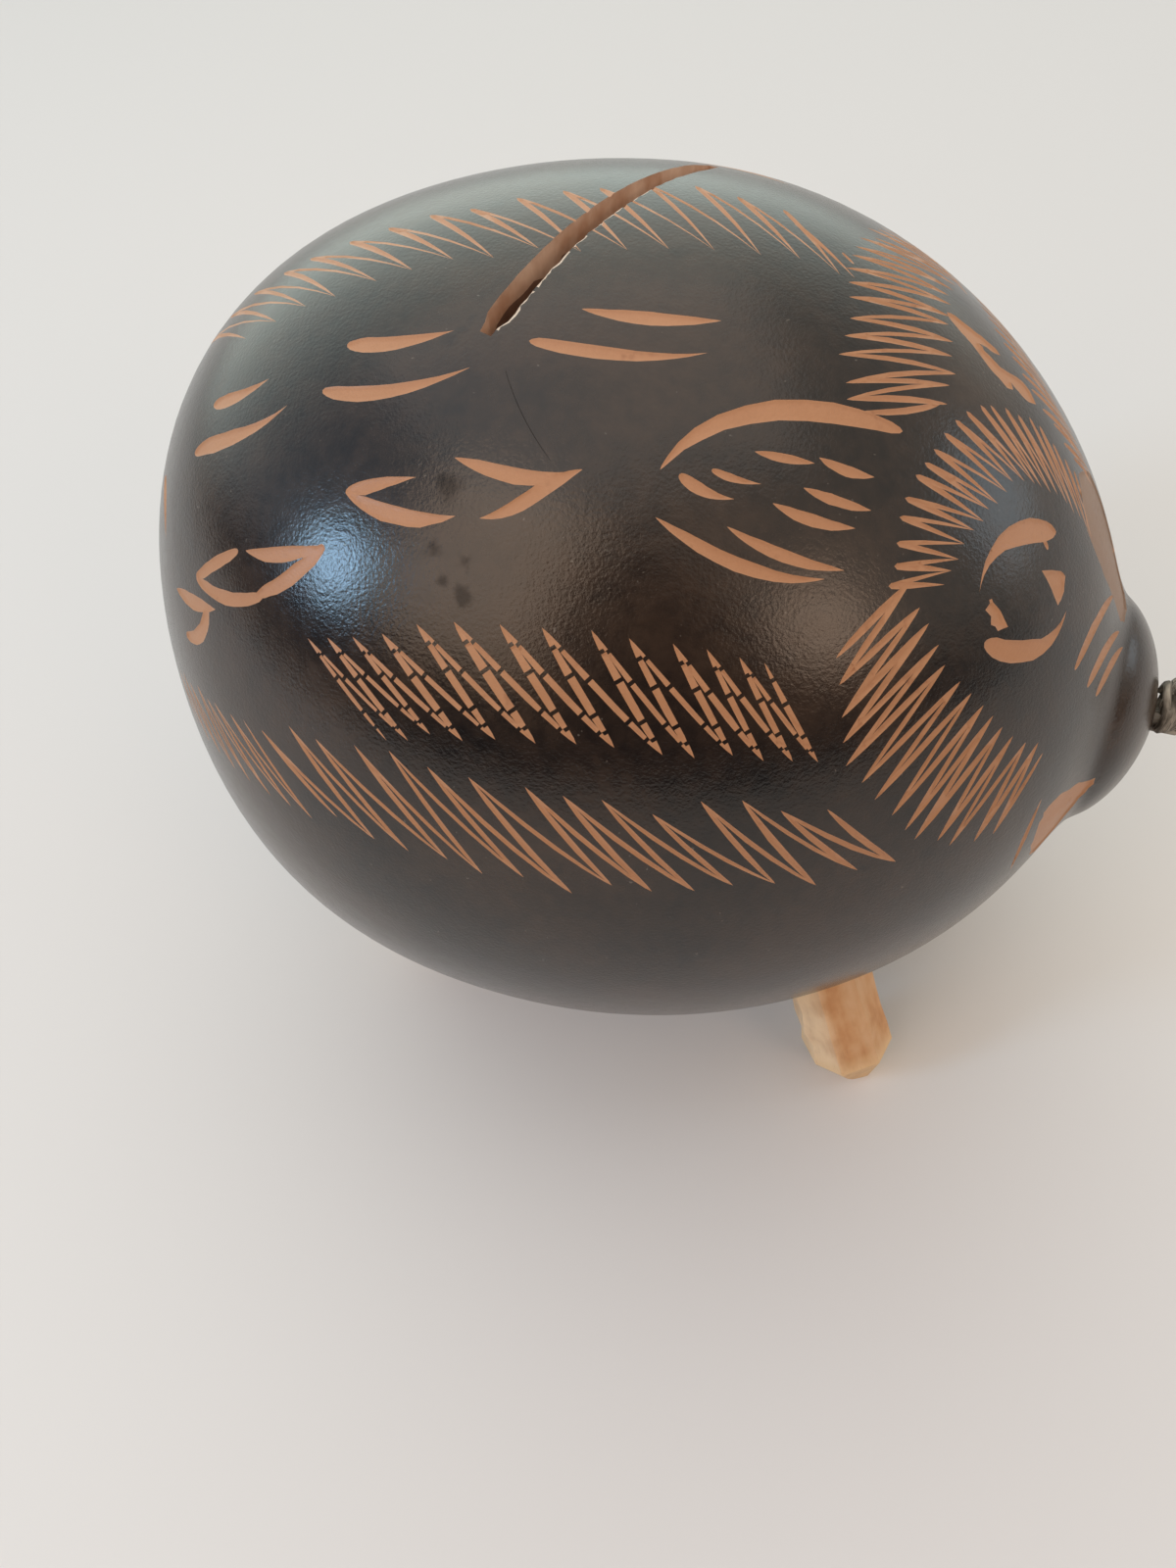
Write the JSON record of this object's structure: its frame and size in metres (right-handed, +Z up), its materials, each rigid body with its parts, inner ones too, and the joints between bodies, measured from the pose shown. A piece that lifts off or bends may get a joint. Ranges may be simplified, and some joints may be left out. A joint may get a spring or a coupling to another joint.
{
  "type": "pig-shaped coin bank",
  "caption": "Pig-shaped coin bank: a hollow dark-dyed fruit shell with carved folk pattern, a coin slot across the back, whittled peg legs and a belly stopper.",
  "frame": {"origin": "on the table under the middle of the bank's length and width", "axes": "+X toward the snout along the fruit's length, +Y to the pig's left, +Z up"},
  "size_m": [0.1442, 0.1134, 0.1276],
  "materials": {
    "dyed_shell": "dyed near-black brown and polished, cuts show the tan layer",
    "pale_wood": "knife-whittled, raw",
    "stopper_wood": "raw, worn",
    "dark_fibre": "coarse twisted fibre"
  },
  "bodies": {
    "bank": {"gourd_shell": "dyed_shell", "front_right_leg": "pale_wood", "front_left_leg": "pale_wood", "rear_right_leg": "pale_wood", "rear_left_leg": "pale_wood", "snout_knot": "dark_fibre"},
    "stopper": {"belly_stopper": "stopper_wood"}
  },
  "joints": [
    {"name": "stopper_pull", "type": "slide", "parent": "bank", "child": "stopper", "axis": [0, 0, -1], "range_m": [0, 0.012]}
  ]
}
